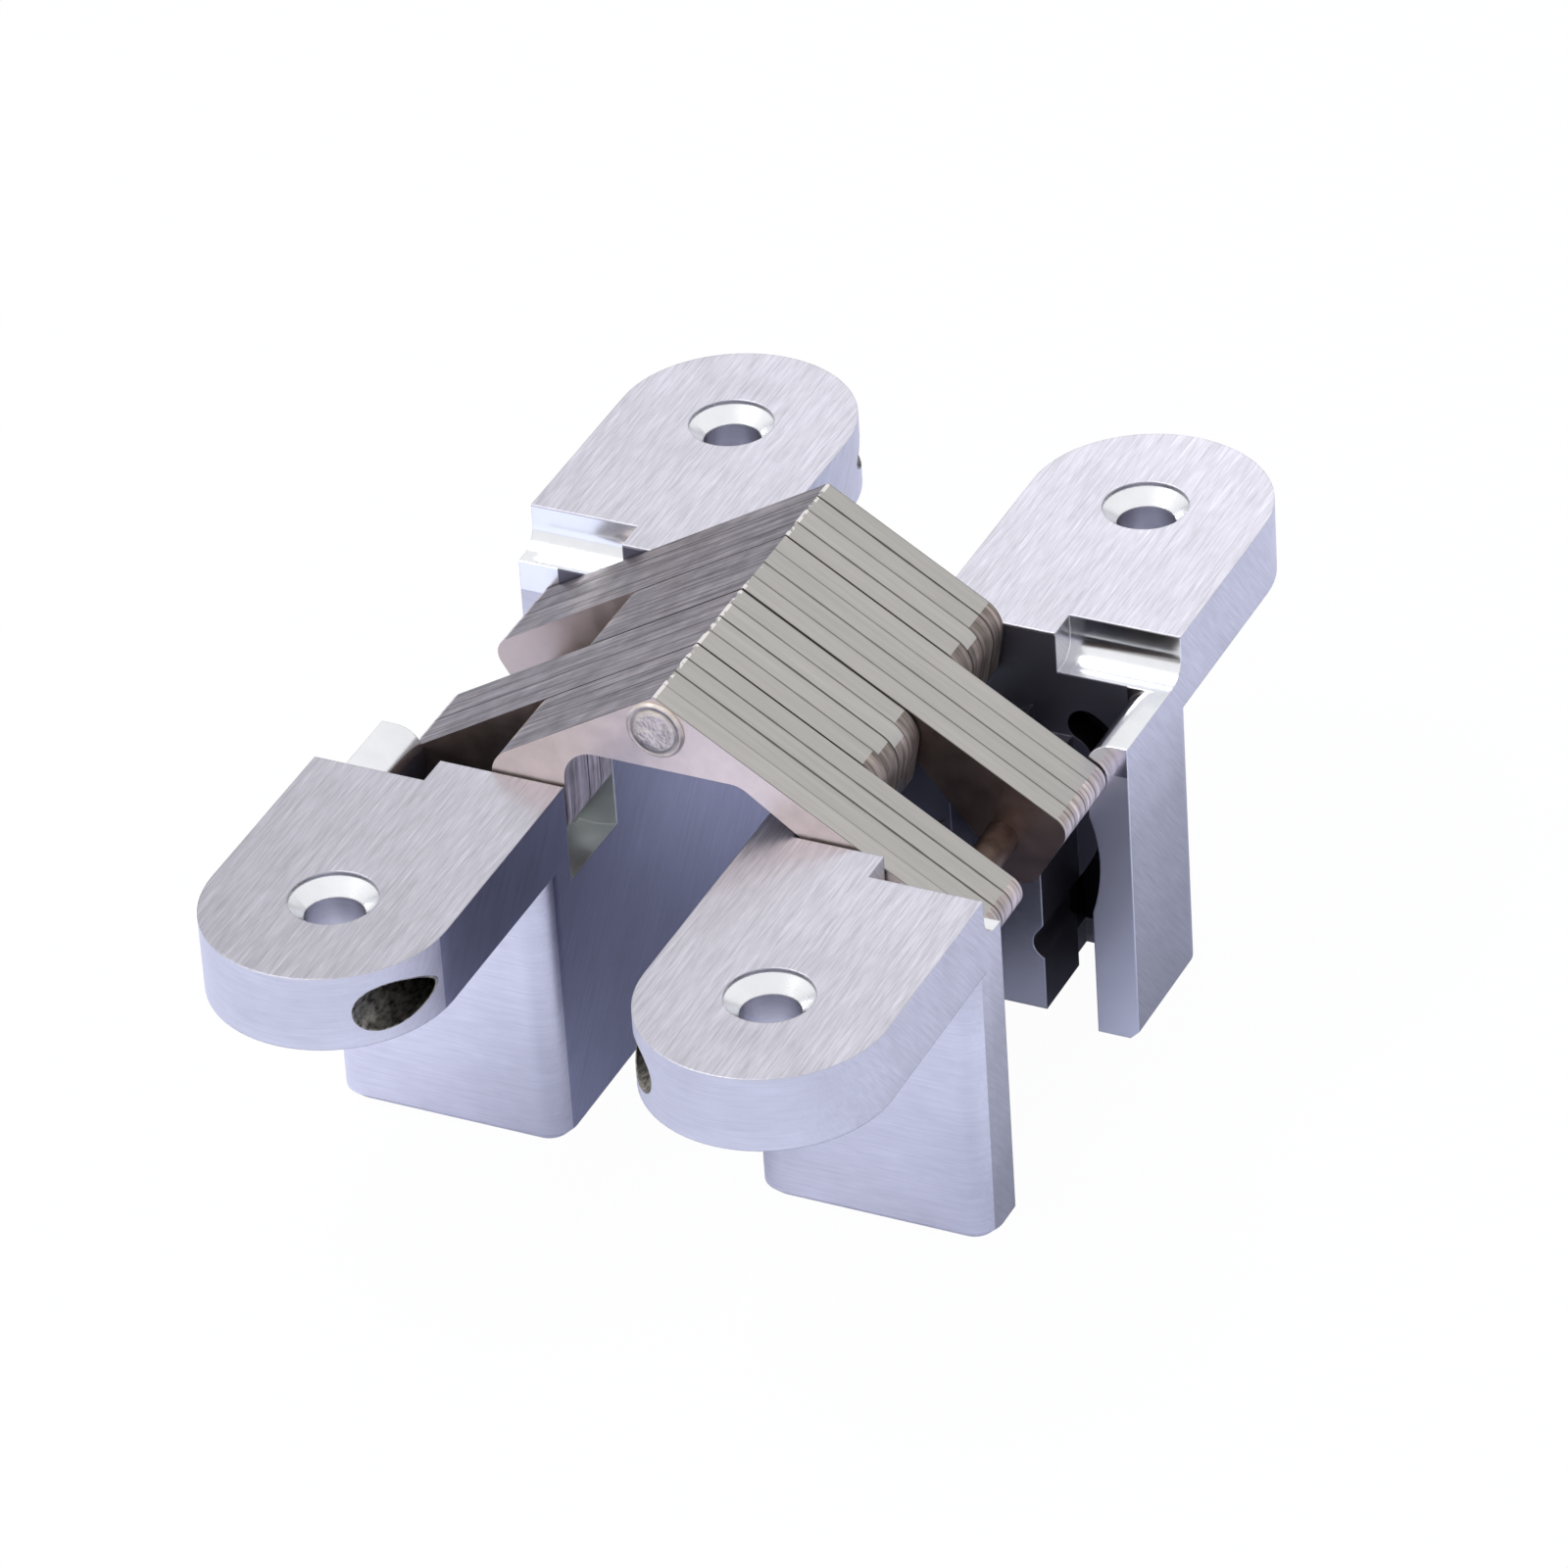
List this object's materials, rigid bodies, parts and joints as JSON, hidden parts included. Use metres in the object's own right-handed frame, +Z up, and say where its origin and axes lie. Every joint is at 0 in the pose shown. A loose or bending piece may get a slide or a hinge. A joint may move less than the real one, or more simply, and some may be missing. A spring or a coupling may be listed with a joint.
{
  "type": "concealed hinge",
  "caption": "Concealed mortise hinge with round-ended pocketed leaves joined by laminated crossing links on riveted and sliding pins.",
  "frame": {"origin": "middle of the bounding box at its bottom, where the housings stand, with the hinge lying fully open", "axes": "+X from the fixed leaf to the moving leaf, +Y along the leaves and the pins, +Z up out of the leaf faces"},
  "size_m": [0.0716, 0.1174, 0.0524],
  "materials": {
    "leaf_casting": "satin brushed plating on a zinc casting",
    "link_steel": "sheared and tumbled steel plate",
    "pin_steel": "drawn steel"
  },
  "bodies": {
    "fixed_leaf": {"fixed_leaf": "leaf_casting", "fixed_pivot_pin": "pin_steel"},
    "link_a": {"link_a_plate_1": "link_steel", "link_a_plate_2": "link_steel", "link_a_plate_3": "link_steel", "link_a_plate_4": "link_steel", "link_a_plate_5": "link_steel", "link_a_plate_6": "link_steel", "link_a_plate_7": "link_steel", "link_a_plate_8": "link_steel", "centre_pin": "pin_steel", "moving_slide_pin": "pin_steel"},
    "link_b": {"link_b_plate_1": "link_steel", "link_b_plate_2": "link_steel", "link_b_plate_3": "link_steel", "link_b_plate_4": "link_steel", "link_b_plate_5": "link_steel", "link_b_plate_6": "link_steel", "link_b_plate_7": "link_steel", "link_b_plate_8": "link_steel", "fixed_slide_pin": "pin_steel"},
    "moving_leaf": {"moving_leaf": "leaf_casting", "moving_pivot_pin": "pin_steel"}
  },
  "joints": [
    {"name": "link_a_pivot", "type": "hinge", "parent": "fixed_leaf", "child": "link_a", "pos_m": [-0.0132, 0, 0.0353], "axis": [0, -1, 0], "range_deg": [0, 117.09]},
    {"name": "centre_pivot", "type": "hinge", "parent": "link_a", "child": "link_b", "pos_m": [0, 0, 0.0487], "axis": [0, -1, 0], "range_deg": [-54.23, 0.05]},
    {"name": "link_b_pivot", "type": "hinge", "parent": "link_b", "child": "moving_leaf", "pos_m": [0.0132, 0, 0.0353], "axis": [0, -1, 0], "range_deg": [-0.05, 117.14]}
  ],
  "couplings": [
    {"joint": "centre_pivot", "follows": "link_a_pivot", "ratio": -0.46271},
    {"joint": "link_b_pivot", "follows": "link_a_pivot", "ratio": 1}
  ]
}
